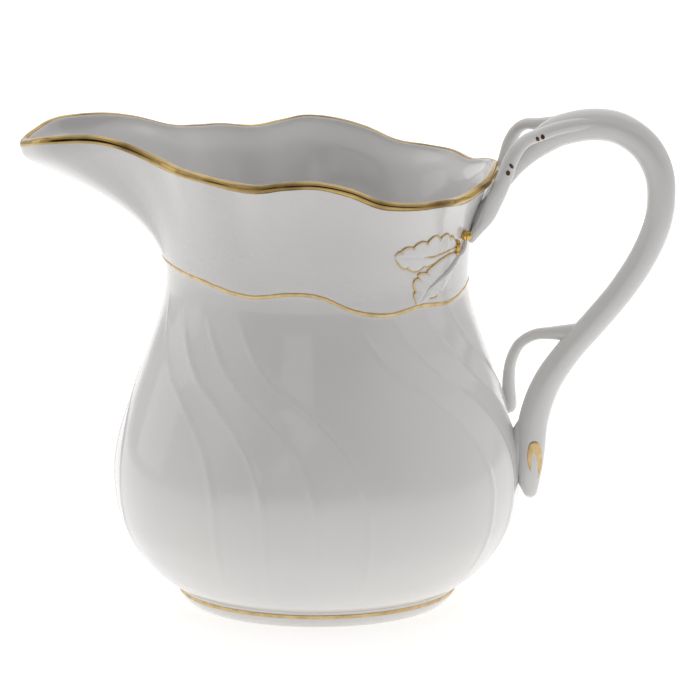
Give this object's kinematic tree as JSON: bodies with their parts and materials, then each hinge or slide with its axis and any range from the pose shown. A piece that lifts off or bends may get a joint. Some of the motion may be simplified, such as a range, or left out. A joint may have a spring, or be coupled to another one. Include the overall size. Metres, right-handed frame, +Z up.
{
  "type": "cream jug",
  "caption": "Pear-shaped porcelain cream jug with a waved rim, long pouring spout, forked twig handle, leaf sprigs on the collar and gilded edges.",
  "frame": {"origin": "middle of the bounding box, on the surface that the foot ring stands on", "axes": "+X towards the handle, -X along the spout, +Z up; the vessel's turning axis is 5.3 mm towards -X from the origin"},
  "size_m": [0.1216, 0.075, 0.0928],
  "materials": {
    "glazed_porcelain": "glossy clear glaze over white porcelain",
    "unglazed_foot": "glazed sides with a bare, ground tread",
    "burnished_gold": "thin fired gold, burnished",
    "dark_gold": "dark fired gold"
  },
  "bodies": {
    "root": {"jug_body": "glazed_porcelain", "foot_ring": "unglazed_foot", "handle_stem": "glazed_porcelain", "handle_shoot": "glazed_porcelain", "handle_branch_near": "glazed_porcelain", "leaf_upper_near": "glazed_porcelain", "leaf_lower_near": "glazed_porcelain", "leaf_stalk_near": "glazed_porcelain", "bud_round_near": "burnished_gold", "bud_long_near": "burnished_gold", "handle_branch_far": "glazed_porcelain", "leaf_upper_far": "glazed_porcelain", "leaf_lower_far": "glazed_porcelain", "leaf_stalk_far": "glazed_porcelain", "bud_round_far": "burnished_gold", "bud_long_far": "burnished_gold", "rim_gilding": "burnished_gold", "collar_gilding": "burnished_gold", "foot_gilding": "burnished_gold", "tail_gilding": "burnished_gold", "branch_scar_1": "dark_gold", "branch_scar_2": "dark_gold", "branch_scar_3": "dark_gold", "branch_scar_4": "dark_gold"}
  },
  "joints": []
}
